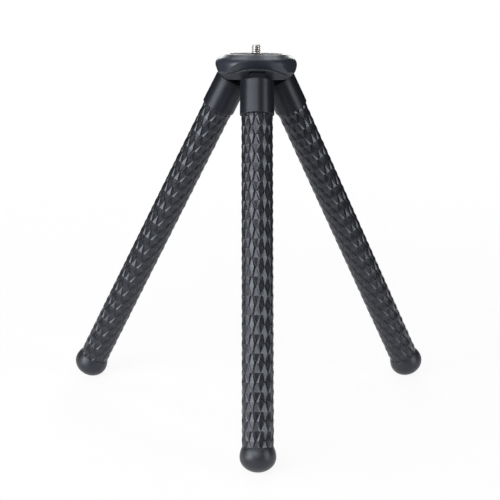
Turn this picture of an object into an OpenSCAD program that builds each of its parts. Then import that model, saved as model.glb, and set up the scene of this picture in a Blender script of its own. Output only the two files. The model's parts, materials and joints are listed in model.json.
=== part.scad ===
// Flexible leg tripod: a round hub with a camera screw, and three bendable rubber
// legs that fold on pins under the hub. Millimetres, +Z up. The origin is the centre of
// the seat that a camera rests on, on the axis of the camera screw.
// Each leg is described along its own axis: s is the distance from its hinge pin.

/* [Hub] */
// Largest radius of the hub
hub_r = 29.1; // [27.5:0.1:32]
// Radius of the flat top of the hub
hub_top_r = 23.2; // [22:0.1:24.5]
// Depth of the hub's underside below the camera seat
hub_h = 17.7; // [17.2:0.1:17.7]
// Slope of the shoulder below the flat top, in degrees
shoulder_slope = 36; // [32:1:42]
// Radius that rounds the shoulder into the side wall
shoulder_round = 6.1; // [4:0.1:7]
// Inward draft of the side wall, in degrees
wall_draft = 4; // [0:0.5:6]
// Length of the straight side wall
wall_len = 3.6; // [2.5:0.1:4]
// Radius that rounds the side wall into the underside
base_round = 3; // [2:0.1:4]
// Slope of the underside between the legs, in degrees
base_slope = 40; // [36:1:44]
// Depth of the seam between the two casings, between the legs
seam_drop = 13.3; // [12.8:0.1:13.8]
// Thickness of the upper casing's rim where it laps over the lower casing
skin_t = 1.4; // [1:0.1:1.6]

/* [Leg facets on the hub] */
// Slope of the undercut facet over each leg, in degrees
facet_slope = 45; // [43:0.5:46]
// Depth of the facet plane below the camera seat, at the hub's largest radius
facet_drop = 2.3; // [2:0.1:2.6]
// Distance down the facet to the top of the arched lip
lip_drop = 10.7; // [10.4:0.1:11.2]
// Radius of the arched lip
lip_arc_r = 37; // [34:1:44]
// How far the lower casing stands out below the lip
lip_step = 0.8; // [0.5:0.1:0.9]
// Depth of the lower casing's lip behind the facet
lip_depth = 2.2; // [2:0.1:2.4]

/* [Camera screw] */
// Thread radius of the quarter inch camera screw
screw_r = 3.175; // [2.5:0.005:3.3]
// Length of the screw above the camera seat
screw_up = 6.5; // [5:0.1:9]
// Chamfer at the tip of the screw
screw_chamfer = 0.7; // [0.3:0.1:1]
// Radius of the plain neck between the thread and the head
screw_neck_r = 3.6; // [3.4:0.05:4]
// Depth of the neck's end below the camera seat
screw_neck_drop = 0.6; // [0.5:0.1:1]
// Width across flats of the screw's hexagon head
screw_head_af = 11; // [9:0.1:12]
// Thickness of the screw's head
screw_head_h = 4; // [3:0.1:5]
// Thickness of the hub's roof over the screw's head
roof_t = 2.9; // [2:0.1:3.5]

/* [Top pad] */
// Radius of the rubber pad
pad_r = 19; // [15:0.1:20.5]
// Thickness of the rubber pad
pad_t = 1.6; // [1.2:0.1:2]
// How far the pad stands above the hub's flat top
pad_proud = 0.2; // [0.1:0.1:0.6]
// Room between the pad's hole and the neck of the camera screw
pad_hole_gap = 0.5; // [0.4:0.05:0.8]
// Number of round grooves in the pad
pad_grooves = 3; // [1:1:4]
// Width of a groove in the pad
groove_w = 0.9; // [0.5:0.1:1.2]
// Depth of a groove in the pad
groove_d = 0.5; // [0.3:0.1:0.8]

/* [Hinges] */
// Distance of each hinge pin inside the hub's largest radius
hinge_inset = 13.5; // [13.3:0.1:14.3]
// Depth of the hinge pins below the camera seat
hinge_drop = 11.7; // [11.6:0.1:12]
// Radius of a hinge pin
pin_r = 1.25; // [1:0.05:1.3]
// Length of a hinge pin
pin_len = 21; // [18:0.5:24]
// Tilt of the front leg from upright as the tripod stands, in degrees
front_tilt = 15.8; // [10:0.1:40]
// Tilt of the other two legs from upright as the tripod stands, in degrees
side_tilt = 29; // [20:0.1:40]
// Tilt of a leg that is opened as far as it goes, in degrees
open_tilt = 55; // [45:1:55]

/* [Ferrule] */
// Width of the hinge tongue
tongue_w = 11.6; // [9:0.1:12]
// Thickness of the hinge tongue
tongue_t = 5.6; // [5:0.1:5.8]
// Radius of the knuckle round the pin
knuckle_r = 3.6; // [3.2:0.1:4]
// Distance from the pin to the ferrule's flat top
ferrule_s = 6.4; // [6.4:0.1:8]
// Radius of the ferrule below its top
ferrule_top_r = 11.8; // [11.5:0.1:11.9]
// Radius that rounds the edge of the top
ferrule_round = 1.2; // [0.8:0.1:1.6]
// Radius of the ferrule at its rim
ferrule_r = 12.1; // [11.8:0.1:12.3]
// Distance from the pin to the rim
rim_s = 31.5; // [30:0.5:36]
// Radius that rounds the edge of the rim
rim_round = 0.9; // [0.4:0.1:1.2]

/* [Sleeve] */
// Radius of the sleeve in the valleys of its relief
valley_r = 10.7; // [10:0.05:10.8]
// Height of the pyramids of the relief
relief_h = 0.4; // [0.3:0.05:1.1]
// Pyramids round the sleeve
relief_n = 11; // [8:1:14]
// Lengths of leg that bend against each other
segment_n = 5; // [3:1:5]
// Rows of relief along one length
segment_rows = 7; // [5:1:8]
// Length of one bending length
segment_len = 45.9; // [38:0.1:52]
// Radius of the plug that holds the sleeve in the ferrule
ferrule_plug_r = 9.2; // [8:0.1:9.4]
// Length of that plug
ferrule_plug_len = 7.5; // [6:0.1:8.5]
// Radius of the plug that holds the foot on the sleeve
foot_plug_r = 7.5; // [6.5:0.1:8]
// Length of that plug
foot_plug_len = 5; // [4:0.1:5.5]

/* [Bends] */
// Largest bend between two lengths of leg, in degrees
bend_max = 30; // [15:1:32]
// Radius of the ball at the upper end of a length
ball_r = 9.8; // [9:0.05:9.9]
// Gap between a ball and its cup
ball_gap = 0.4; // [0.3:0.05:0.45]
// Room left between two lengths at the largest bend
bend_room = 0.5; // [0.3:0.05:0.6]
// Height of a sleeve's ball above the bend, as a share of the ball's radius
ball_share = 0.78; // [0.7:0.01:0.8]
// Height of a core's ball end above the bend, as a share of the ball's radius
core_share = 0.75; // [0.65:0.01:0.78]

/* [Core] */
// Radius of the bendable aluminium core
core_r = 3.5; // [2.5:0.1:4.5]
// Outer radius of the collar that anchors the core in the ferrule
collar_r = 6.2; // [5.6:0.1:7]
// Length of the collar
collar_len = 8; // [6:0.1:8.5]
// Distance that the core reaches into the foot, past the sleeve's end
core_tail = 8; // [6.5:0.1:9]
// Outer radius of the cap on the end of the core
end_cap_r = 5.2; // [5.1:0.1:6.5]
// Thickness of that cap below the core
end_cap_t = 2; // [1:0.1:2.4]

/* [Foot] */
// Largest radius of the foot
foot_r = 12.6; // [11.5:0.1:12.7]
// Radius of the foot where it meets the sleeve
foot_neck_r = 11; // [10.8:0.1:11.2]
// Height of the foot above its widest place
foot_up = 6.7; // [5.5:0.1:8]
// Height of the foot below its widest place
foot_down = 10.5; // [9:0.1:11]

/* [Casing screws] */
// Distance of the casing screws from the hub's axis
case_screw_r = 14.5; // [14:0.1:15.5]
// Radius of a casing screw's shank
case_shank_r = 1.25; // [1:0.05:1.5]
// Radius of a casing screw's head
case_head_r = 2.4; // [2:0.1:2.6]
// Thickness of a casing screw's head
case_head_h = 1.6; // [1.2:0.1:2]
// Radius of the six-sided hole in a casing screw's head
case_drive_r = 1.1; // [0.8:0.1:1.3]
// Length of a casing screw under its head
case_screw_len = 9; // [7:0.1:10]

/* [Clearances] */
// Radial clearance of a pin that turns in a bore
run_gap = 0.06; // [0.03:0.01:0.1]
// Clearance between pieces that are fixed together
fit_gap = 0.1; // [0.05:0.01:0.15]
// Clearance on each side of a hinge tongue
side_gap = 0.2; // [0.15:0.01:0.3]
// Clearance round a knuckle as it turns
swing_gap = 0.35; // [0.3:0.01:0.5]

/* [Hidden] */
$fn = 96;
LEGS = ["front", "left", "right"];
LEG_TURN = [0, -120, 120];
LEG_TILT = [front_tilt, side_tilt, side_tilt];
far = 100;
overlap = 1;
top_z = -pad_proud;
roof_z = -pad_t - roof_t;
head_z = roof_z - screw_head_h;
hinge_r = hub_r - hinge_inset;
hinge_z = -hinge_drop;
shoulder_c = [hub_r - shoulder_round, top_z
    - (hub_r - shoulder_round * (1 - sin(shoulder_slope)) - hub_top_r) * tan(shoulder_slope)
    - shoulder_round * cos(shoulder_slope)];
base_c = shoulder_c + (shoulder_round - base_round) * [cos(wall_draft), -sin(wall_draft)]
    - wall_len * [sin(wall_draft), cos(wall_draft)];
base_edge = base_c + base_round * [sin(base_slope), -cos(base_slope)];
base_r = base_edge[0] - (hub_h + base_edge[1]) / tan(base_slope);
row_len = segment_len / segment_rows;
slots = 2 * relief_n;
foot_s = rim_s + segment_n * segment_len;
wide_s = foot_s + foot_up;
cup_r = ball_r + ball_gap;
joint_half = valley_r * tan(bend_max / 2) + bend_room / 2;
collar_s = rim_s - ferrule_plug_len - fit_gap - collar_len;
core_end_s = foot_s + core_tail;
end_cap_s = foot_s + foot_plug_len + fit_gap;
casing_plastic = [0.15, 0.16, 0.19];
lower_plastic = [0.11, 0.12, 0.15];
sleeve_rubber = [0.24, 0.24, 0.27];
foot_rubber = [0.28, 0.29, 0.32];
pad_rubber = [0.13, 0.13, 0.14];
bright_steel = [0.78, 0.78, 0.80];
bare_aluminium = [0.70, 0.71, 0.73];

// Distance from the hinge pin to the bend above length k
function bend_s(k) = rim_s + (k - 1) * segment_len;

// Places a piece that is drawn in the front leg's radial plane on the given leg
module round_hub(leg) {
    rotate([0, 0, LEG_TURN[leg]]) children();
}

// Places a piece that is drawn with the hinge pin at the origin and the leg along -Z
module on_leg(leg) {
    round_hub(leg) translate([0, -hinge_r, hinge_z]) rotate([-LEG_TILT[leg], 0, 0]) children();
}

// Lies in the facet: Y runs up and out along it, and Z points away from the hub
module on_facet(leg) {
    round_hub(leg) translate([0, -hub_r, -facet_drop]) rotate([180 - facet_slope, 0, 0]) children();
}

// Points of an arc in a profile, from one angle to another
function arc(centre, r, from, to, steps) =
    [for (i = [0 : steps]) let (a = from + (to - from) * i / steps) centre + r * [cos(a), sin(a)]];

// Everything below the given height
module below(z) {
    translate([-far, -far, z - far]) cube([2 * far, 2 * far, far]);
}

// The hub before its facets are cut, with its walls set in by the given amount
module hub_round(inset) {
    side = concat(
        [[base_r, -hub_h]],
        arc(base_c, base_round, base_slope - 90, -wall_draft, 6),
        arc(shoulder_c, shoulder_round, -wall_draft, 90 - shoulder_slope, 10),
        [[hub_top_r, top_z]]
    );
    rotate_extrude() polygon(concat([[0, -hub_h]], [for (p = side) p - [inset, 0]], [[0, top_z]]));
}

// The hub's outer form, with its walls and facets set in by the given amount
module hub_form(inset) {
    difference() {
        hub_round(inset);
        for (leg = [0 : 2])
            on_facet(leg) translate([-far, -far, -inset]) cube([2 * far, 2 * far, far]);
    }
}

// The arched lips that stand out of the facets, grown by the given amount
module lips(grow) {
    for (leg = [0 : 2])
        on_facet(leg) translate([0, -lip_drop - lip_arc_r, -lip_depth - grow])
            cylinder(r = lip_arc_r + grow, h = lip_depth + lip_step + grow, $fn = 180);
}

// The room that a leg's tongue and knuckle sweep, from upright to fully open
module tongue_slot(leg) {
    reach = hub_r;
    half = tongue_t / 2 + swing_gap;
    round_hub(leg) translate([0, -hinge_r, hinge_z]) rotate([90, 0, 90])
        linear_extrude(tongue_w + 2 * side_gap, center = true) {
            circle(knuckle_r + swing_gap);
            for (tilt = [0, open_tilt])
                rotate(-tilt) translate([-half, -reach]) square([2 * half, reach]);
            polygon(concat([[0, 0]], [for (tilt = [0 : open_tilt / 5 : open_tilt])
                -reach * [sin(tilt), cos(tilt)]]));
        }
}

// A round bar along the hinge axis of a leg
module hinge_bar(leg, r, len) {
    round_hub(leg) translate([0, -hinge_r, hinge_z]) rotate([0, 90, 0])
        cylinder(r = r, h = len, center = true);
}

// Places a piece at each casing screw, under the hub between the legs
module at_case_screws() {
    for (leg = [0 : 2])
        rotate([0, 0, LEG_TURN[leg] + 180]) translate([0, -case_screw_r, -hub_h]) children();
}

module hub_upper_casing() {
    color(casing_plastic) difference() {
        hub_form(0);
        lips(fit_gap);
        below(fit_gap - seam_drop);
        intersection() {
            hub_form(skin_t);
            below(hinge_z);
        }
        for (leg = [0 : 2]) {
            tongue_slot(leg);
            hinge_bar(leg, pin_r + fit_gap / 4, pin_len + fit_gap);
        }
        translate([0, 0, -pad_t]) cylinder(r = pad_r + fit_gap, h = far);
        cylinder(r = screw_neck_r + fit_gap, h = far, center = true);
        translate([0, 0, roof_z - far])
            cylinder(r = (screw_head_af / 2 + fit_gap) / cos(30), h = far, $fn = 6);
        at_case_screws() cylinder(r = case_shank_r + fit_gap, h = case_head_h + case_screw_len + overlap);
    }
}

module hub_lower_casing() {
    boss_r = screw_head_af / 2 - fit_gap;
    color(lower_plastic) difference() {
        union() {
            intersection() {
                hub_form(skin_t + fit_gap);
                below(hinge_z);
            }
            intersection() {
                hub_form(0);
                below(-seam_drop);
            }
            intersection() {
                hub_round(0);
                lips(0);
            }
            translate([0, 0, hinge_z - overlap]) cylinder(r = boss_r, h = head_z - hinge_z + overlap);
        }
        for (leg = [0 : 2]) {
            tongue_slot(leg);
            hinge_bar(leg, pin_r + fit_gap / 4, pin_len + fit_gap);
        }
        at_case_screws() {
            cylinder(r = case_shank_r + fit_gap, h = far);
            translate([0, 0, -overlap]) cylinder(r = case_head_r + fit_gap, h = case_head_h + overlap);
        }
    }
}

module top_pad() {
    hole_r = screw_neck_r + pad_hole_gap;
    groove_step = (pad_r - hole_r) / (pad_grooves + 1);
    color(pad_rubber) rotate_extrude() difference() {
        translate([hole_r, -pad_t]) square([pad_r - hole_r, pad_t]);
        for (i = [1 : pad_grooves])
            translate([hole_r + i * groove_step - groove_w / 2, -groove_d]) square([groove_w, groove_d + overlap]);
    }
}

module camera_screw() {
    color(bright_steel) {
        translate([0, 0, head_z])
            cylinder(r = screw_head_af / 2 / cos(30), h = screw_head_h, $fn = 6);
        translate([0, 0, head_z + screw_head_h / 2])
            cylinder(r = screw_neck_r, h = -screw_neck_drop - head_z - screw_head_h / 2);
        translate([0, 0, -screw_neck_drop - overlap])
            cylinder(r = screw_r, h = screw_up - screw_chamfer + screw_neck_drop + overlap);
        translate([0, 0, screw_up - screw_chamfer])
            cylinder(r1 = screw_r, r2 = screw_r - screw_chamfer, h = screw_chamfer);
    }
}

module casing_screws() {
    color(bright_steel) at_case_screws() difference() {
        union() {
            cylinder(r = case_head_r, h = case_head_h);
            cylinder(r = case_shank_r, h = case_head_h + case_screw_len);
        }
        translate([0, 0, -overlap]) cylinder(r = case_drive_r, h = overlap + case_head_h / 2, $fn = 6);
    }
}

module hinge_pin(leg) {
    color(bright_steel) hinge_bar(leg, pin_r, pin_len);
}

// Hard collar at the head of a leg, with the tongue that turns on the hinge pin
module ferrule() {
    plug_s = rim_s - ferrule_plug_len - fit_gap;
    root_s = ferrule_s + overlap;
    color(casing_plastic) difference() {
        union() {
            rotate_extrude() polygon(concat(
                [[0, -ferrule_s]],
                arc([ferrule_top_r - ferrule_round, -ferrule_s - ferrule_round], ferrule_round, 90, 0, 6),
                arc([ferrule_r - rim_round, -rim_s + rim_round], rim_round, 0, -90, 6),
                [[0, -rim_s]]
            ));
            rotate([0, 90, 0]) cylinder(r = knuckle_r, h = tongue_w, center = true);
            translate([-tongue_w / 2, -tongue_t / 2, -root_s]) cube([tongue_w, tongue_t, root_s]);
        }
        rotate([0, 90, 0]) cylinder(r = pin_r + run_gap, h = far, center = true);
        translate([0, 0, -far - plug_s]) cylinder(r = ferrule_plug_r + fit_gap, h = far);
        translate([0, 0, -far - collar_s]) cylinder(r = collar_r + fit_gap, h = far);
    }
}

module core_collar() {
    color(bright_steel) translate([0, 0, -collar_s - collar_len]) difference() {
        cylinder(r = collar_r, h = collar_len);
        translate([0, 0, -overlap]) cylinder(r = core_r + fit_gap, h = collar_len + 2 * overlap);
    }
}

// Radius of the sleeve at one corner of its relief; its two end rings are plain
function relief_r(ring, slot, first) =
    ring == 0 || ring == segment_rows ? valley_r : valley_r + relief_h * ((first + ring + slot) % 2);

// Faceted outside of one length of sleeve, between two distances from the hinge pin
module relief_tube(k, from_s, to_s) {
    first = (k - 1) * segment_rows;
    start = bend_s(k);
    ring_s = [for (i = [0 : segment_rows]) i == 0 ? from_s : i == segment_rows ? to_s : start + i * row_len];
    points = [for (i = [0 : segment_rows]) for (j = [0 : slots - 1])
        let (a = 360 * j / slots, r = relief_r(i, j, first)) [r * cos(a), r * sin(a), -ring_s[i]]];
    sides = [for (i = [0 : segment_rows - 1]) for (j = [0 : slots - 1])
        let (
            a = i * slots + j,
            b = i * slots + (j + 1) % slots,
            c = b + slots,
            d = a + slots
        ) each (first + i + j) % 2 == 1 ? [[a, b, d], [b, c, d]] : [[a, b, c], [a, c, d]]];
    top_cap = [for (j = [1 : slots]) slots - j];
    end_cap = [for (j = [0 : slots - 1]) segment_rows * slots + j];
    polyhedron(points, concat(sides, [top_cap, end_cap]));
}

// One length of rubber sleeve: a ball above, a cup below, and plugs at the leg's two ends
module sleeve(k) {
    top_s = bend_s(k);
    low_s = bend_s(k + 1);
    from_s = k == 1 ? top_s : top_s + joint_half;
    to_s = k == segment_n ? low_s : low_s - joint_half;
    color(sleeve_rubber) difference() {
        union() {
            relief_tube(k, from_s, to_s);
            if (k == 1)
                translate([0, 0, -top_s - overlap]) cylinder(r = ferrule_plug_r, h = ferrule_plug_len + overlap);
            else
                translate([0, 0, -top_s]) intersection() {
                    sphere(ball_r);
                    translate([0, 0, -joint_half - overlap])
                        cylinder(r = cup_r, h = joint_half + overlap + ball_share * ball_r);
                }
            if (k == segment_n)
                translate([0, 0, -low_s - foot_plug_len]) cylinder(r = foot_plug_r, h = foot_plug_len + overlap);
        }
        if (k < segment_n) translate([0, 0, -low_s]) sphere(cup_r);
        translate([0, 0, -low_s - far / 2]) cylinder(r = core_r + fit_gap, h = segment_len + far);
    }
}

// One length of the aluminium core, with the same ball and cup as its sleeve
module core(k) {
    top_s = k == 1 ? collar_s : bend_s(k) - core_share * ball_r;
    low_s = k == segment_n ? core_end_s : bend_s(k + 1);
    color(bare_aluminium) difference() {
        union() {
            translate([0, 0, -low_s]) cylinder(r = core_r, h = low_s - top_s);
            if (k > 1)
                translate([0, 0, -bend_s(k)]) intersection() {
                    sphere(ball_r);
                    cylinder(r = core_r, h = 2 * ball_r);
                }
        }
        if (k < segment_n) translate([0, 0, -low_s]) sphere(cup_r);
    }
}

module core_end_cap() {
    color(lower_plastic) translate([0, 0, -core_end_s - end_cap_t]) difference() {
        cylinder(r = end_cap_r, h = core_end_s + end_cap_t - end_cap_s);
        translate([0, 0, end_cap_t]) cylinder(r = core_r + fit_gap, h = far);
    }
}

// Rubber foot: two part ellipses that meet at its widest place
module foot() {
    upper_h = foot_up / sqrt(1 - pow(foot_neck_r / foot_r, 2));
    up_angle = asin(foot_up / upper_h);
    pocket_s = core_end_s + end_cap_t + fit_gap;
    color(foot_rubber) difference() {
        rotate_extrude() polygon(concat(
            [[0, -foot_s]],
            [for (a = [up_angle : -up_angle / 6 : 0.01]) [foot_r * cos(a), -wide_s + upper_h * sin(a)]],
            [for (a = [0 : 90 / 14 : 90.01]) [foot_r * cos(a), -wide_s - foot_down * sin(a)]]
        ));
        translate([0, 0, -end_cap_s]) cylinder(r = foot_plug_r + fit_gap, h = far);
        translate([0, 0, -pocket_s]) cylinder(r = end_cap_r + fit_gap, h = far);
    }
}

hub_upper_casing();
hub_lower_casing();
top_pad();
camera_screw();
casing_screws();
for (leg = [0 : 2]) {
    hinge_pin(leg);
    on_leg(leg) ferrule();
    on_leg(leg) core_collar();
    on_leg(leg) foot();
    on_leg(leg) core_end_cap();
    for (k = [1 : segment_n]) {
        on_leg(leg) sleeve(k);
        on_leg(leg) core(k);
    }
}
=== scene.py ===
"""Looks for a tripod with three flexible legs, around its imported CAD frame, in metres."""

import json
import math

import bmesh
import bpy
from mathutils import Matrix, Vector

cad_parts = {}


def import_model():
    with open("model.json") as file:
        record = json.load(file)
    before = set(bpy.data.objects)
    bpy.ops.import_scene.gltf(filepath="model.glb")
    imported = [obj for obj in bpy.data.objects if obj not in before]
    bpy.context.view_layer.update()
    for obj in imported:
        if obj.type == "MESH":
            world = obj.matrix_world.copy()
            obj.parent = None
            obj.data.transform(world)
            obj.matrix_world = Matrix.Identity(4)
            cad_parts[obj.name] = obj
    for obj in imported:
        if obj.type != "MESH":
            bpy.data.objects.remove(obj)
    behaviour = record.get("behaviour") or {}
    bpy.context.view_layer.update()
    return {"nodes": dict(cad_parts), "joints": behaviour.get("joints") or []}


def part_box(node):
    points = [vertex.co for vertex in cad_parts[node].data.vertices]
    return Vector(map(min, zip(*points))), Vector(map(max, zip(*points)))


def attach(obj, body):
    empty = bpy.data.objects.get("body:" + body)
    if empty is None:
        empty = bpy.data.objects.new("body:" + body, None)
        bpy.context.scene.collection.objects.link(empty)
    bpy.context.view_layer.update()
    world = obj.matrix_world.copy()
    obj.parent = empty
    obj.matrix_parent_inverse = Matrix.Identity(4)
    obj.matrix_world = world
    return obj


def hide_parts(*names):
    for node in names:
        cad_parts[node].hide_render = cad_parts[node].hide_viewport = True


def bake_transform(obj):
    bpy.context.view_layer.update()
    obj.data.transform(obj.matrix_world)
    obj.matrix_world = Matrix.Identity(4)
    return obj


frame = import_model()

NODES = frame["nodes"]
JOINTS = {joint["name"]: joint for joint in frame["joints"]}
LEGS = ("front", "left", "right")
MM = 0.001
UP = Vector((0, 0, 1))

# Sizes of the legs along their axes, measured from the hinge pins
RIM_S = 31.5 * MM
SEGMENT_LEN = 45.9 * MM
SEGMENTS = 5
ROWS_PER_SEGMENT = 7
FOOT_S = RIM_S + SEGMENTS * SEGMENT_LEN
FOOT_WIDEST_S = FOOT_S + 6.7 * MM
FOOT_R = 12.6 * MM
FOOT_DOWN = 10.5 * MM

# Relief of the rubber sleeves: places round a leg are counted in slots, two to each raised point
RELIEF_ROUND = 11
SLOTS = 2 * RELIEF_ROUND
CORNERS_PER_POINT = 3
ROW = SEGMENT_LEN / ROWS_PER_SEGMENT
FIRST_ROW_SHARE = 0.31
LINING_R = 8.4 * MM
VALLEY_R = 10.5 * MM
PEAK_R = 11.13 * MM
EDGE_HALF = 0.5
RELIEF_TURN = 0.45
CUT_MARGIN = 1e-7

# The skins of a leg lie between these rings, each over one bend
PIECE_RINGS = (0, 11, 18, 25, 36)

# Camera screw, a quarter inch with 20 threads to the inch, measured from the camera seat
SCREW_R = 3.175 * MM
SCREW_ROOT_R = 2.45 * MM
SCREW_UP = 6.5 * MM
SCREW_PITCH = 1.27 * MM
SCREW_CHAMFER = 0.7 * MM
THREAD_START = -0.2 * MM
ROOT_SHARE = 0.125
FLANK_SHARE = 0.5
NECK_R = 3.6 * MM
NECK_START = -0.3 * MM
NECK_CHAMFER = 0.3 * MM
HEAD_HALF_WIDTH = 5.5 * MM
HEAD_HEIGHT = 4 * MM
HEAD_CHAMFER = 0.25 * MM
SCREW_AROUND = 72
THREAD_STEPS = 96

# Edges sharper than these stay sharp in the shading
CAD_SHARP = math.radians(28)
SCREW_SHARP = math.radians(40)

# The lower casing's edges above this height, along its lip, carry a painted highlight that fades
# in over the second length
LIP_HIGHLIGHT_LOW = -12.8 * MM
LIP_HIGHLIGHT_FADE = 0.8 * MM

# Recesses under the hub that are closed within this reach get painted shade
PAINTED_SHADE_REACH = 16 * MM

# The part of a noise pattern's range in which most of its values lie
NOISE_SPAN = (0.3, 0.7)

# Samples of the shader's edge and recess finders, and the span of open and closed recesses
EDGE_SAMPLES = 6
RECESS_SAMPLES = 8
RECESS_SPAN = (0.45, 0.92)

# Colours of the part, in linear values
SHEEN_TINT = (0.86, 0.91, 1.0, 1.0)
# Dark colour painted into the ferrules' recesses as shade
PAINTED_SHADE_COLOUR = (0.002, 0.002, 0.0025)
CASING_COLOURS = ((0.021, 0.024, 0.031), (0.027, 0.030, 0.039), (0.06, 0.065, 0.077))
# The lower casing's third colour is a pale painted highlight for the edges of its lip
LOWER_COLOURS = ((0.024, 0.026, 0.033), (0.030, 0.032, 0.040), (0.36, 0.37, 0.39))
FERRULE_COLOURS = ((0.009, 0.010, 0.0135), (0.012, 0.0135, 0.018), (0.04, 0.043, 0.052))
SLEEVE_COLOURS = ((0.010, 0.0107, 0.0137), (0.014, 0.0148, 0.0187))
SLEEVE_RUBBED = (0.045, 0.047, 0.056)
# Painted shade for the low parts of the sleeves' relief
SLEEVE_PAINTED_SHADE = (0.008, 0.0085, 0.011)
FOOT_COLOURS = ((0.013, 0.014, 0.018), (0.017, 0.0183, 0.023))
PAD_COLOURS = ((0.011, 0.011, 0.012), (0.017, 0.017, 0.019))
SCREW_COLOUR = (0.56, 0.56, 0.57)
# Painted shade between the thread's crests
THREAD_ROOT_SHADE = (0.14, 0.13, 0.12)
THREAD_BRIGHT = (0.86, 0.82, 0.77)
PIN_COLOUR = (0.52, 0.52, 0.54)
CORE_COLOUR = (0.72, 0.73, 0.75)

# Shine of the rubbers, and how much paler than the rubber its worn edges are
RUBBER_SHINE = 0.45
RUBBER_WORN = 2.2

# How dark the dim patches of metals are, as a share of their colour
METAL_DIM = 0.8

# Floor of the studio, in metres; its white grows from the near to the far distance
FLOOR_HALF = 6.0
FLOOR_PARTS = 8
FLOOR_GAP = 0.2 * MM
FLOOR_ROUNDS = 12
FLOOR_COLOURS = ((0.80, 0.80, 0.80), (0.84, 0.84, 0.84))
FLOOR_ROUGH = 0.9
FLOOR_SHINE = 0.1
WHITE_SPAN = (0.25, 0.7)
WHITE_SHARES = (0.9, 1.0)

# Dark flags of the studio, in metres from the middle of the floor
FLAG_NEAR = 0.5
FLAG_FAR = 1.7
FLAG_LIFT = 0.004
FLAG_TOP = 3.4
FLAG_REACH = math.radians(176)
FLAG_STEPS = 48
FLAG_COLOURS = ((0.008, 0.008, 0.009), (0.014, 0.014, 0.015))

# The world's strength as a light, and as a background
WORLD_STRENGTHS = (0.18, 1.0)

# Lamps: name, place, target, width, height and power
LAMPS = (
    ("key_left", (-1.05, -0.68, 0.12), (0, 0, 0.05), 0.85, 0.95, 19),
    ("fill_right", (1.05, -0.68, 0.12), (0, 0, 0.05), 0.5, 0.95, 8),
    ("overhead_left", (-0.47, 0.40, 1.25), (0, 0, 0), 0.3, 0.6, 3.6),
    ("overhead_right", (0.47, 0.40, 1.25), (0, 0, 0), 0.3, 0.6, 3.6),
    ("overhead_front", (-0.42, -1.2, 0.58), (0, 0, -0.1), 1.1, 0.5, 11),
    ("back_fill", (0, 1.3, 0.45), (0, 0, -0.1), 1.0, 0.5, 8),
)

# Camera, fitted to the picture that the part was made from
EYE = Vector((-40.1, -939.1, 32.1)) * MM
PITCH = math.radians(10.498)
YAW = math.radians(2.2515)
ROLL = math.radians(0.51)
LENS = 94.16
SENSOR = 36
CLIP_NEAR = 0.01
CLIP_FAR = 50


def joint_place(name):
    return Vector(JOINTS[name]["pos_m"])


def leg_axes(leg):
    """The hinge's place, the way down the leg, the way out of its face and the way across it."""
    hinge = joint_place(leg + "_fold")
    along = (joint_place(leg + "_bend_4") - hinge).normalized()
    outward = (UP - UP.dot(along) * along).normalized()
    across = along.cross(outward)
    return hinge, along, outward, across


def share_between(value, low, high):
    """Zero at the low value, one at the high value, and never outside these."""
    return min(1.0, max(0.0, (value - low) / (high - low)))


def add_object(name, content):
    """A new object in the scene, with a mesh, a lamp or a camera as its content."""
    holder = bpy.data.objects.new(name, content)
    bpy.context.scene.collection.objects.link(holder)
    return holder


def finished_mesh(name, shape):
    """A mesh from a shape that has all its faces."""
    mesh = bpy.data.meshes.new(name)
    shape.to_mesh(mesh)
    shape.free()
    return mesh


def shade_smooth(mesh, sharp_angle):
    for face in mesh.polygons:
        face.use_smooth = True
    mesh.set_sharp_from_angle(angle=sharp_angle)


# Shader helpers


def new_material(name):
    material = bpy.data.materials.new(name)
    material.use_nodes = True
    tree = material.node_tree
    return material, tree, tree.nodes["Principled BSDF"]


def place_output(tree):
    return tree.nodes.new("ShaderNodeTexCoord").outputs["Object"]


def attribute(tree, name):
    node = tree.nodes.new("ShaderNodeAttribute")
    node.attribute_name = name
    return node.outputs["Fac"]


def noise(tree, scale, detail=3.0, rough=0.5, stretch=None):
    """A noise pattern in the object's own coordinates, pressed together where asked."""
    texture = tree.nodes.new("ShaderNodeTexNoise")
    texture.inputs["Scale"].default_value = scale
    texture.inputs["Detail"].default_value = detail
    texture.inputs["Roughness"].default_value = rough
    source = place_output(tree)
    if stretch:
        mapping = tree.nodes.new("ShaderNodeMapping")
        mapping.inputs["Scale"].default_value = stretch
        tree.links.new(source, mapping.inputs["Vector"])
        source = mapping.outputs["Vector"]
    tree.links.new(source, texture.inputs["Vector"])
    return texture.outputs["Fac"]


def ranged(tree, value, span, results=(0, 1)):
    """A value spread from the ends of a span to two results, and held at these outside it."""
    node = tree.nodes.new("ShaderNodeMapRange")
    tree.links.new(value, node.inputs["Value"])
    node.inputs["From Min"].default_value = span[0]
    node.inputs["From Max"].default_value = span[1]
    node.inputs["To Min"].default_value = results[0]
    node.inputs["To Max"].default_value = results[1]
    return node.outputs["Result"]


def varied(tree, pattern, results=(0, 1)):
    """A noise pattern spread over two results."""
    return ranged(tree, pattern, NOISE_SPAN, results)


def math_node(tree, operation, first, second):
    node = tree.nodes.new("ShaderNodeMath")
    node.operation = operation
    for socket, value in zip(node.inputs, (first, second)):
        if isinstance(value, (int, float)):
            socket.default_value = value
        else:
            tree.links.new(value, socket)
    return node.outputs[0]


def blended(tree, factor, first, second):
    """A colour between two colours, each a tuple or an output."""
    node = tree.nodes.new("ShaderNodeMix")
    node.data_type = "RGBA"
    tree.links.new(factor, node.inputs[0])
    for socket, colour in ((node.inputs[6], first), (node.inputs[7], second)):
        if isinstance(colour, tuple):
            socket.default_value = colour + (1,)
        else:
            tree.links.new(colour, socket)
    return node.outputs[2]


def rounded_edges(tree, radius):
    """A normal that turns smoothly over edges, within a radius."""
    node = tree.nodes.new("ShaderNodeBevel")
    node.samples = EDGE_SAMPLES
    node.inputs["Radius"].default_value = radius
    return node.outputs["Normal"]


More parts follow.
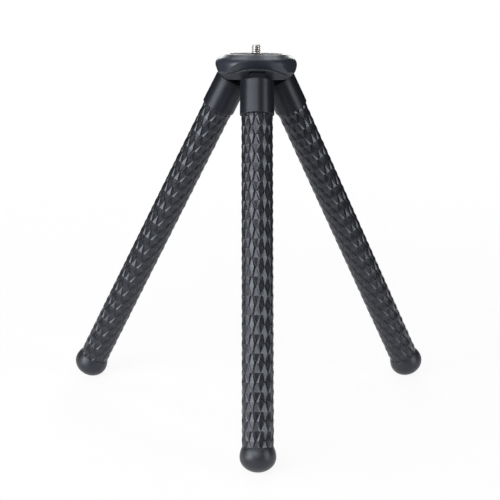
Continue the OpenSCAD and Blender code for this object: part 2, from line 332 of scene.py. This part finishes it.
def edge_mask(tree, normal, span):
    """One on edges, where the rounded normal leaves the face's own, and zero on flat areas."""
    geometry = tree.nodes.new("ShaderNodeNewGeometry")
    dot = tree.nodes.new("ShaderNodeVectorMath")
    dot.operation = "DOT_PRODUCT"
    tree.links.new(normal, dot.inputs[0])
    tree.links.new(geometry.outputs["Normal"], dot.inputs[1])
    turned = math_node(tree, "SUBTRACT", 1.0, dot.outputs["Value"])
    return ranged(tree, turned, span)


def bumped(tree, height, strength, distance, normal=None):
    node = tree.nodes.new("ShaderNodeBump")
    node.inputs["Strength"].default_value = strength
    node.inputs["Distance"].default_value = distance
    tree.links.new(height, node.inputs["Height"])
    if normal:
        tree.links.new(normal, node.inputs["Normal"])
    return node.outputs["Normal"]


def unshaded_share(tree, reach):
    """One on open faces, and less in recesses, where shade is painted."""
    node = tree.nodes.new("ShaderNodeAmbientOcclusion")
    node.samples = RECESS_SAMPLES
    node.inputs["Distance"].default_value = reach
    return ranged(tree, node.outputs["AO"], RECESS_SPAN)


def set_shine(shader, level):
    shader.inputs["Specular IOR Level"].default_value = level
    shader.inputs["Specular Tint"].default_value = SHEEN_TINT


# Materials


def moulded_plastic(name, colours, rough, shine, edge, grain, highlight_above=None, painted_shade_reach=None):
    """Satin plastic with a fine mould grain, faint rubbed patches and worn edges.

    With a height given, only the edges above it take the third colour, as a painted highlight.
    With a reach given, recesses closed within that reach take painted shade and a duller finish.
    """
    dark, light, wear_and_highlight = colours
    material, tree, shader = new_material(name)
    patches = noise(tree, scale=90, detail=4, rough=0.6)
    colour = blended(tree, varied(tree, patches), dark, light)
    normal = rounded_edges(tree, edge)
    wear = edge_mask(tree, normal, span=(0.01, 0.16))
    # Where a height is given, only edges above it take the third colour, as a painted highlight
    if highlight_above is not None:
        height = tree.nodes.new("ShaderNodeSeparateXYZ")
        tree.links.new(place_output(tree), height.inputs[0])
        above = ranged(tree, height.outputs["Z"], (highlight_above, highlight_above + LIP_HIGHLIGHT_FADE))
        wear = math_node(tree, "MULTIPLY", wear, above)
    scratches = noise(tree, scale=900, detail=5, rough=0.7)
    scuffs = ranged(tree, scratches, span=(0.42, 0.62), results=(0.15, 1))
    colour = blended(tree, math_node(tree, "MULTIPLY", wear, scuffs), colour, wear_and_highlight)
    smears = noise(tree, scale=260, detail=5, rough=0.65)
    dullness = varied(tree, smears, results=(rough - 0.05, rough + 0.07))
    # Painted shade: recesses closed within the reach get a dark colour and a duller finish
    if painted_shade_reach is not None:
        unshaded = unshaded_share(tree, painted_shade_reach)
        colour = blended(tree, unshaded, PAINTED_SHADE_COLOUR, colour)
        dull_recess = ranged(tree, unshaded, span=(0, 0.8), results=(1, rough))
        dullness = math_node(tree, "MAXIMUM", dullness, dull_recess)
    tree.links.new(colour, shader.inputs["Base Color"])
    tree.links.new(dullness, shader.inputs["Roughness"])
    set_shine(shader, shine)
    pits = noise(tree, scale=3200, detail=2, rough=0.5)
    skin = bumped(tree, pits, strength=grain, distance=0.12 * MM, normal=normal)
    tree.links.new(skin, shader.inputs["Normal"])
    return material


def sleeve_rubber():
    """Satin rubber whose raised edges are rubbed paler, with painted shade low in the relief."""
    material, tree, shader = new_material("sleeve_rubber_look")
    height = attribute(tree, "relief")
    patches = varied(tree, noise(tree, scale=130, detail=4, rough=0.6))
    colour = blended(tree, patches, *SLEEVE_COLOURS)
    rubbed = ranged(tree, height, span=(0.55, 1.0), results=(0, 0.5))
    scratches = noise(tree, scale=700, detail=5)
    scuffs = ranged(tree, scratches, span=(0.4, 0.6), results=(0.3, 1))
    rubbed = math_node(tree, "MULTIPLY", rubbed, scuffs)
    colour = blended(tree, rubbed, colour, SLEEVE_RUBBED)
    # Painted shade darkens the low parts of the relief
    low = ranged(tree, height, span=(0.0, 0.3), results=(0.4, 0))
    colour = blended(tree, low, colour, SLEEVE_PAINTED_SHADE)
    tree.links.new(colour, shader.inputs["Base Color"])
    dullness = varied(tree, noise(tree, scale=400, detail=5), results=(0.2, 0.3))
    tree.links.new(dullness, shader.inputs["Roughness"])
    set_shine(shader, RUBBER_SHINE)
    normal = rounded_edges(tree, 0.15 * MM)
    grain = noise(tree, scale=2600, detail=3, rough=0.6)
    skin = bumped(tree, grain, strength=0.10, distance=0.12 * MM, normal=normal)
    tree.links.new(skin, shader.inputs["Normal"])
    return material


def plain_rubber(name, colours, rough, cell):
    """Moulded rubber with a fine pebbled skin."""
    dark, light = colours
    material, tree, shader = new_material(name)
    patches = varied(tree, noise(tree, scale=150, detail=5, rough=0.6))
    colour = blended(tree, patches, dark, light)
    normal = rounded_edges(tree, 0.3 * MM)
    wear = edge_mask(tree, normal, span=(0.01, 0.2))
    colour = blended(tree, wear, colour, tuple(RUBBER_WORN * part for part in light))
    tree.links.new(colour, shader.inputs["Base Color"])
    smears = noise(tree, scale=500, detail=5)
    dullness = varied(tree, smears, results=(rough - 0.07, rough + 0.08))
    tree.links.new(dullness, shader.inputs["Roughness"])
    set_shine(shader, RUBBER_SHINE)
    pebbles = tree.nodes.new("ShaderNodeTexVoronoi")
    pebbles.feature = "SMOOTH_F1"
    pebbles.inputs["Scale"].default_value = cell
    tree.links.new(place_output(tree), pebbles.inputs["Vector"])
    height = pebbles.outputs["Distance"]
    skin = bumped(tree, height, strength=0.12, distance=0.2 * MM, normal=normal)
    tree.links.new(skin, shader.inputs["Normal"])
    return material


def turned_metal(name, colour, rough, stretch):
    """Turned or drawn metal with fine lines along the way it was worked."""
    material, tree, shader = new_material(name)
    patches = varied(tree, noise(tree, scale=600, detail=4))
    dim = tuple(METAL_DIM * part for part in colour)
    tree.links.new(blended(tree, patches, dim, colour), shader.inputs["Base Color"])
    shader.inputs["Metallic"].default_value = 1.0
    lines = noise(tree, scale=1500, detail=5, rough=0.7, stretch=stretch)
    dullness = varied(tree, lines, results=(rough - 0.07, rough + 0.1))
    tree.links.new(dullness, shader.inputs["Roughness"])
    normal = rounded_edges(tree, 0.15 * MM)
    skin = bumped(tree, lines, strength=0.12, distance=0.06 * MM, normal=normal)
    tree.links.new(skin, shader.inputs["Normal"])
    return material


def thread_metal():
    """Steel that is bright on the crests of a thread, with painted shade between them."""
    material, tree, shader = new_material("thread_steel_look")
    bright = ranged(tree, attribute(tree, "crest"), span=(0.1, 0.85))
    stains = varied(tree, noise(tree, scale=1800, detail=4), results=(0.75, 1))
    share = math_node(tree, "MULTIPLY", bright, stains)
    # Bright steel on the crests and painted shade in the roots
    colour = blended(tree, share, THREAD_ROOT_SHADE, THREAD_BRIGHT)
    tree.links.new(colour, shader.inputs["Base Color"])
    shader.inputs["Metallic"].default_value = 1.0
    lines = noise(tree, scale=2400, detail=4, rough=0.6, stretch=(1, 1, 7))
    tree.links.new(varied(tree, lines, results=(0.26, 0.38)), shader.inputs["Roughness"])
    skin = bumped(tree, lines, strength=0.1, distance=0.05 * MM)
    tree.links.new(skin, shader.inputs["Normal"])
    return material


CASING = moulded_plastic(
    "casing_plastic_look", CASING_COLOURS, rough=0.31, shine=0.45, edge=0.2 * MM, grain=0.16
)
# The lower casing's lip edges carry a painted highlight
LOWER = moulded_plastic(
    "lower_plastic_look", LOWER_COLOURS, rough=0.42, shine=0.3, edge=0.4 * MM, grain=0.18,
    highlight_above=LIP_HIGHLIGHT_LOW
)
# The ferrules carry painted shade in the recesses under the hub
FERRULE = moulded_plastic(
    "ferrule_plastic_look", FERRULE_COLOURS, rough=0.34, shine=0.29, edge=0.3 * MM, grain=0.12,
    painted_shade_reach=PAINTED_SHADE_REACH
)
SLEEVE = sleeve_rubber()
FOOT = plain_rubber("foot_rubber_look", FOOT_COLOURS, rough=0.4, cell=1400)
PAD = plain_rubber("pad_rubber_look", PAD_COLOURS, rough=0.72, cell=900)
STEEL = turned_metal("screw_steel_look", SCREW_COLOUR, rough=0.26, stretch=(1, 1, 9))
THREAD = thread_metal()
PIN_STEEL = turned_metal("pin_steel_look", PIN_COLOUR, rough=0.3, stretch=(6, 6, 1))
ALUMINIUM = turned_metal("core_aluminium_look", CORE_COLOUR, rough=0.34, stretch=(3, 3, 1))


def dress(node, material):
    """A CAD node keeps its shape, takes a finish and is shaded smooth between its sharp edges."""
    mesh = NODES[node].data
    mesh.materials.clear()
    mesh.materials.append(material)
    shade_smooth(mesh, CAD_SHARP)


dress("hub_upper_casing", CASING)
dress("hub_lower_casing", LOWER)
dress("top_pad", PAD)
dress("casing_screws", STEEL)
dress("camera_screw", STEEL)
for leg in LEGS:
    dress(leg + "_hinge_pin", PIN_STEEL)
    dress(leg + "_ferrule", FERRULE)
    dress(leg + "_core_collar", ALUMINIUM)
    dress(leg + "_foot", FOOT)
    dress(leg + "_core_end_cap", ALUMINIUM)
    for segment in range(1, SEGMENTS + 1):
        dress(f"{leg}_sleeve_{segment}", SLEEVE)
        dress(f"{leg}_core_{segment}", ALUMINIUM)


# Rubber sleeves


def ring_place(ring):
    """How far down the leg a ring of the relief lies; the first row starts inside the ferrule."""
    return RIM_S + (ring - 1 + FIRST_ROW_SHARE) * ROW


def ring_of_points(shape, axes, ring, corners):
    """Points round a leg at one ring, each given by its place in slots and its radius."""
    hinge, along, outward, across = axes
    points = []
    for slot, radius in corners:
        angle = math.tau * (slot + RELIEF_TURN) / SLOTS
        side = outward * math.cos(angle) + across * math.sin(angle)
        points.append(shape.verts.new(hinge + along * ring_place(ring) + side * radius))
    return points


def relief_corners(ring):
    """Round one ring: a low corner and then the two ends of a raised edge, for each point."""
    corners = []
    for number in range(RELIEF_ROUND):
        middle = 2 * number + ring % 2
        corners.append((middle - 1, VALLEY_R))
        corners.append((middle - EDGE_HALF, PEAK_R))
        corners.append((middle + EDGE_HALF, PEAK_R))
    return corners


def half_point(shape, ring, number, tip):
    """Three faces between one raised edge, its two low corners and the tip above or below it."""
    start = CORNERS_PER_POINT * number
    left, edge_left, edge_right = ring[start:start + CORNERS_PER_POINT]
    right = ring[(start + CORNERS_PER_POINT) % len(ring)]
    shape.faces.new((left, edge_left, tip))
    shape.faces.new((edge_left, edge_right, tip))
    shape.faces.new((edge_right, right, tip))


def relief_skin(shape, axes, first, last):
    """The outside: rows of raised edges, staggered, with a tip above and a tip below each."""
    numbers = range(first, last + 1)
    rings = [ring_of_points(shape, axes, ring, relief_corners(ring)) for ring in numbers]
    for row in range(len(rings) - 1):
        upper = rings[row]
        lower = rings[row + 1]
        odd = (first + row) % 2
        for number in range(RELIEF_ROUND):
            tip_below = CORNERS_PER_POINT * ((number + odd) % RELIEF_ROUND)
            tip_above = CORNERS_PER_POINT * ((number + 1 - odd) % RELIEF_ROUND)
            half_point(shape, upper, number, lower[tip_below])
            half_point(shape, lower, number, upper[tip_above])


def lining(shape, axes, first, last):
    """The smooth inside of the tube."""
    count = CORNERS_PER_POINT * RELIEF_ROUND
    corners = [(SLOTS * number / count, LINING_R) for number in range(count)]
    rings = [ring_of_points(shape, axes, ring, corners) for ring in range(first, last + 1)]
    for upper, lower in zip(rings, rings[1:]):
        for number in range(count):
            after = (number + 1) % count
            shape.faces.new((upper[number], upper[after], lower[after], lower[number]))


def cut_skin(shape, axes, place, way):
    """Cuts the tube off at a place down the leg."""
    hinge, along = axes[:2]
    everything = shape.verts[:] + shape.edges[:] + shape.faces[:]
    bmesh.ops.bisect_plane(
        shape, geom=everything, dist=CUT_MARGIN, plane_co=hinge + along * place,
        plane_no=along * way, clear_outer=True
    )


def close_ends(shape, axes):
    """Joins the outside to the lining at both ends."""
    hinge, along = axes[:2]
    rims = [edge for edge in shape.edges if edge.is_boundary]
    places = [along.dot(edge.verts[0].co - hinge) for edge in rims]
    middle = (min(places) + max(places)) / 2
    for upper in (True, False):
        end = [edge for edge, place in zip(rims, places) if (place < middle) == upper]
        bmesh.ops.bridge_loops(shape, edges=end)


def sleeve_piece(leg, number):
    """One stretch of a leg's skin: staggered raised points between two rings, over one bend."""
    axes = leg_axes(leg)
    hinge, along = axes[:2]
    first = PIECE_RINGS[number - 1]
    last = PIECE_RINGS[number]
    shape = bmesh.new()
    relief_skin(shape, axes, first, last)
    lining(shape, axes, first, last)
    cut_skin(shape, axes, RIM_S, -1)
    cut_skin(shape, axes, FOOT_S, 1)
    close_ends(shape, axes)
    bmesh.ops.recalc_face_normals(shape, faces=shape.faces[:])
    relief = shape.verts.layers.float.new("relief")
    for vertex in shape.verts:
        from_hinge = vertex.co - hinge
        radius = (from_hinge - along * along.dot(from_hinge)).length
        vertex[relief] = share_between(radius, VALLEY_R, PEAK_R)
    mesh = finished_mesh(f"{leg}_skin_{number}", shape)
    mesh.materials.append(SLEEVE)
    piece = add_object(f"{leg}_skin_{number}", mesh)
    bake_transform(piece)
    return piece


for leg in LEGS:
    for number in range(1, SEGMENTS):
        skin = sleeve_piece(leg, number)
        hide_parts(f"{leg}_sleeve_{number}")
        if number == SEGMENTS - 1:
            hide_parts(f"{leg}_sleeve_{SEGMENTS}")


# Camera screw with its thread


def thread_radius(height, turn):
    """The thread's radius at a height, a share of a turn round, with a chamfered top."""
    share = (height / SCREW_PITCH - turn) % 1.0
    flank = abs(share - 0.5) * 2
    crest = share_between(flank, ROOT_SHARE, ROOT_SHARE + FLANK_SHARE)
    radius = SCREW_ROOT_R + (SCREW_R - SCREW_ROOT_R) * crest
    top = SCREW_R - SCREW_CHAMFER + (SCREW_UP - height)
    return min(radius, top)


def hexagon_radius(angle):
    """The radius of the hexagon head at an angle."""
    within = angle % (math.pi / 3) - math.pi / 6
    return HEAD_HALF_WIDTH / math.cos(within)


def screw_ring(shape, height, radii):
    """Points round the screw's axis at a height, one for each radius."""
    ring = []
    for slot, radius in enumerate(radii):
        angle = math.tau * slot / SCREW_AROUND
        ring.append(shape.verts.new((radius * math.cos(angle), radius * math.sin(angle), height)))
    return ring


def screw_profile(shape, low):
    """The rings of the screw, from the bottom of its head to the top of its thread."""
    turns = [slot / SCREW_AROUND for slot in range(SCREW_AROUND)]
    profile = []
    for step in range(THREAD_STEPS + 1):
        height = THREAD_START + (SCREW_UP - THREAD_START) * step / THREAD_STEPS
        profile.append(screw_ring(shape, height, [thread_radius(height, turn) for turn in turns]))
    head_top = low + HEAD_HEIGHT
    neck = (
        (NECK_R - NECK_CHAMFER, NECK_START),
        (NECK_R, NECK_START - NECK_CHAMFER),
        (NECK_R, head_top),
    )
    for radius, height in neck:
        profile.insert(0, screw_ring(shape, height, [radius] * SCREW_AROUND))
    head = ((head_top, HEAD_CHAMFER), (head_top - HEAD_CHAMFER, 0), (low, 0))
    for height, chamfer in head:
        radii = [hexagon_radius(math.tau * turn) - chamfer for turn in turns]
        profile.insert(0, screw_ring(shape, height, radii))
    return profile


def camera_screw():
    """The camera screw with its thread, which stands for the plain CAD one."""
    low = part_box("camera_screw")[0]
    shape = bmesh.new()
    profile = screw_profile(shape, low.z)
    for lower, upper in zip(profile, profile[1:]):
        for slot in range(SCREW_AROUND):
            after = (slot + 1) % SCREW_AROUND
            shape.faces.new((lower[slot], lower[after], upper[after], upper[slot]))
    shape.faces.new(reversed(profile[0]))
    middle = shape.verts.new((0, 0, SCREW_UP))
    for slot in range(SCREW_AROUND):
        after = (slot + 1) % SCREW_AROUND
        shape.faces.new((profile[-1][slot], profile[-1][after], middle))
    bmesh.ops.recalc_face_normals(shape, faces=shape.faces[:])
    crest = shape.verts.layers.float.new("crest")
    for vertex in shape.verts:
        radius = math.hypot(vertex.co.x, vertex.co.y)
        vertex[crest] = share_between(radius, SCREW_ROOT_R, SCREW_R)
    mesh = finished_mesh("threaded_stud", shape)
    shade_smooth(mesh, SCREW_SHARP)
    mesh.materials.append(THREAD)
    stud = add_object("threaded_stud", mesh)
    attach(stud, "hub")
    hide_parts("camera_screw")


camera_screw()


# Floor and flags of the studio


def foot_contact(leg, normal):
    """The point of a leg's foot that is lowest against a floor with this normal."""
    hinge, along = leg_axes(leg)[:2]
    centre = hinge + along * FOOT_WIDEST_S
    down = -normal
    axial = down.dot(along)
    radial = down - axial * along
    reach = math.sqrt((FOOT_DOWN * axial) ** 2 + (FOOT_R * radial.length) ** 2)
    return centre + (along * axial * FOOT_DOWN ** 2 + radial * FOOT_R ** 2) / reach


def floor_plane():
    """The plane under the three feet, found by moving each contact to where its slope puts it."""
    normal = UP
    for attempt in range(FLOOR_ROUNDS):
        first, second, third = [foot_contact(leg, normal) for leg in LEGS]
        normal = (second - first).cross(third - first).normalized()
        if normal.z < 0:
            normal = -normal
    return (first + second + third) / 3, normal


def camera_ray_share(tree):
    """One for rays that show the background itself: camera, glossy and transmission rays."""
    path = tree.nodes.new("ShaderNodeLightPath")
    seen = math_node(tree, "MAXIMUM", path.outputs["Is Camera Ray"], path.outputs["Is Glossy Ray"])
    return math_node(tree, "MAXIMUM", seen, path.outputs["Is Transmission Ray"])


def floor_paper():
    """Pale paper that keeps shadows, and through which the white background shows."""
    material, tree, shader = new_material("studio_floor_look")
    paper = blended(tree, varied(tree, noise(tree, scale=30)), *FLOOR_COLOURS)
    tree.links.new(paper, shader.inputs["Base Color"])
    shader.inputs["Roughness"].default_value = FLOOR_ROUGH
    shader.inputs["Specular IOR Level"].default_value = FLOOR_SHINE
    clear = tree.nodes.new("ShaderNodeBsdfTransparent")
    mixed = tree.nodes.new("ShaderNodeMixShader")
    distance = tree.nodes.new("ShaderNodeVectorMath")
    distance.operation = "LENGTH"
    tree.links.new(place_output(tree), distance.inputs[0])
    white = ranged(tree, distance.outputs["Value"], WHITE_SPAN, WHITE_SHARES)
    white = math_node(tree, "MULTIPLY", camera_ray_share(tree), white)
    tree.links.new(white, mixed.inputs[0])
    tree.links.new(shader.outputs[0], mixed.inputs[1])
    tree.links.new(clear.outputs[0], mixed.inputs[2])
    tree.links.new(mixed.outputs[0], tree.nodes["Material Output"].inputs["Surface"])
    return material


def floor():
    """A wide sheet of paper on the plane under the three feet."""
    middle, normal = floor_plane()
    middle = middle - normal * FLOOR_GAP
    shape = bmesh.new()
    bmesh.ops.create_grid(
        shape, x_segments=FLOOR_PARTS, y_segments=FLOOR_PARTS, size=FLOOR_HALF
    )
    mesh = finished_mesh("studio_floor", shape)
    mesh.materials.append(floor_paper())
    plane = add_object("studio_floor", mesh)
    lean = UP.rotation_difference(normal).to_matrix().to_4x4()
    plane.matrix_world = Matrix.Translation(middle) @ lean
    return plane


def flag_cloth():
    """Dark cloth without any shine."""
    material, tree, shader = new_material("studio_flag_look")
    cloth = blended(tree, varied(tree, noise(tree, scale=60)), *FLAG_COLOURS)
    tree.links.new(cloth, shader.inputs["Base Color"])
    shader.inputs["Roughness"].default_value = 1.0
    shader.inputs["Specular IOR Level"].default_value = 0.0
    return material


def dark_flags(floor_place):
    """Dark cloth round the floor and up, with a slit behind the object, only for reflections."""
    shape = bmesh.new()
    rows = []
    for step in range(FLAG_STEPS + 1):
        angle = -math.pi / 2 + FLAG_REACH * (2 * step / FLAG_STEPS - 1)
        side = Vector((math.cos(angle), math.sin(angle), 0))
        rows.append([
            shape.verts.new(side * FLAG_NEAR + UP * FLAG_LIFT),
            shape.verts.new(side * FLAG_FAR + UP * FLAG_LIFT),
            shape.verts.new(side * FLAG_FAR + UP * FLAG_TOP),
        ])
    for row, after in zip(rows, rows[1:]):
        for part in range(2):
            shape.faces.new((row[part], after[part], after[part + 1], row[part + 1]))
    mesh = finished_mesh("studio_flags", shape)
    mesh.materials.append(flag_cloth())
    flags = add_object("studio_flags", mesh)
    flags.matrix_world = floor_place
    flags.visible_camera = False
    flags.visible_shadow = False


dark_flags(floor().matrix_world.copy())


# World, lamps and camera


def world():
    """A white background that lights the object less than it shows."""
    scene_world = bpy.data.worlds.new("studio_world")
    bpy.context.scene.world = scene_world
    scene_world.use_nodes = True
    tree = scene_world.node_tree
    background = tree.nodes["Background"]
    background.inputs["Color"].default_value = (1, 1, 1, 1)
    strength = ranged(tree, camera_ray_share(tree), (0, 1), WORLD_STRENGTHS)
    tree.links.new(strength, background.inputs["Strength"])


def soft_lamp(name, place, target, width, height, power):
    lamp = bpy.data.lights.new(name, "AREA")
    lamp.shape = "RECTANGLE"
    lamp.size = width
    lamp.size_y = height
    lamp.energy = power
    holder = add_object(name, lamp)
    holder.location = place
    holder.rotation_euler = (Vector(target) - Vector(place)).to_track_quat("-Z", "Y").to_euler()


def camera():
    """The camera at its place, turned by yaw, pitch and roll."""
    forward = Vector(
        (math.sin(YAW) * math.cos(PITCH), math.cos(YAW) * math.cos(PITCH), -math.sin(PITCH))
    )
    right = Vector((math.cos(YAW), -math.sin(YAW), 0))
    up = right.cross(forward)
    rolled_right = right * math.cos(ROLL) + up * math.sin(ROLL)
    rolled_up = up * math.cos(ROLL) - right * math.sin(ROLL)
    turned = Matrix((rolled_right, rolled_up, -forward)).transposed()
    view = bpy.data.cameras.new("photo_camera")
    view.lens = LENS
    view.sensor_width = SENSOR
    view.clip_start = CLIP_NEAR
    view.clip_end = CLIP_FAR
    holder = add_object("photo_camera", view)
    holder.matrix_world = Matrix.Translation(EYE) @ turned.to_4x4()
    bpy.context.scene.camera = holder


world()
for lamp_facts in LAMPS:
    soft_lamp(*lamp_facts)
camera()
bpy.context.scene.view_settings.view_transform = "Standard"
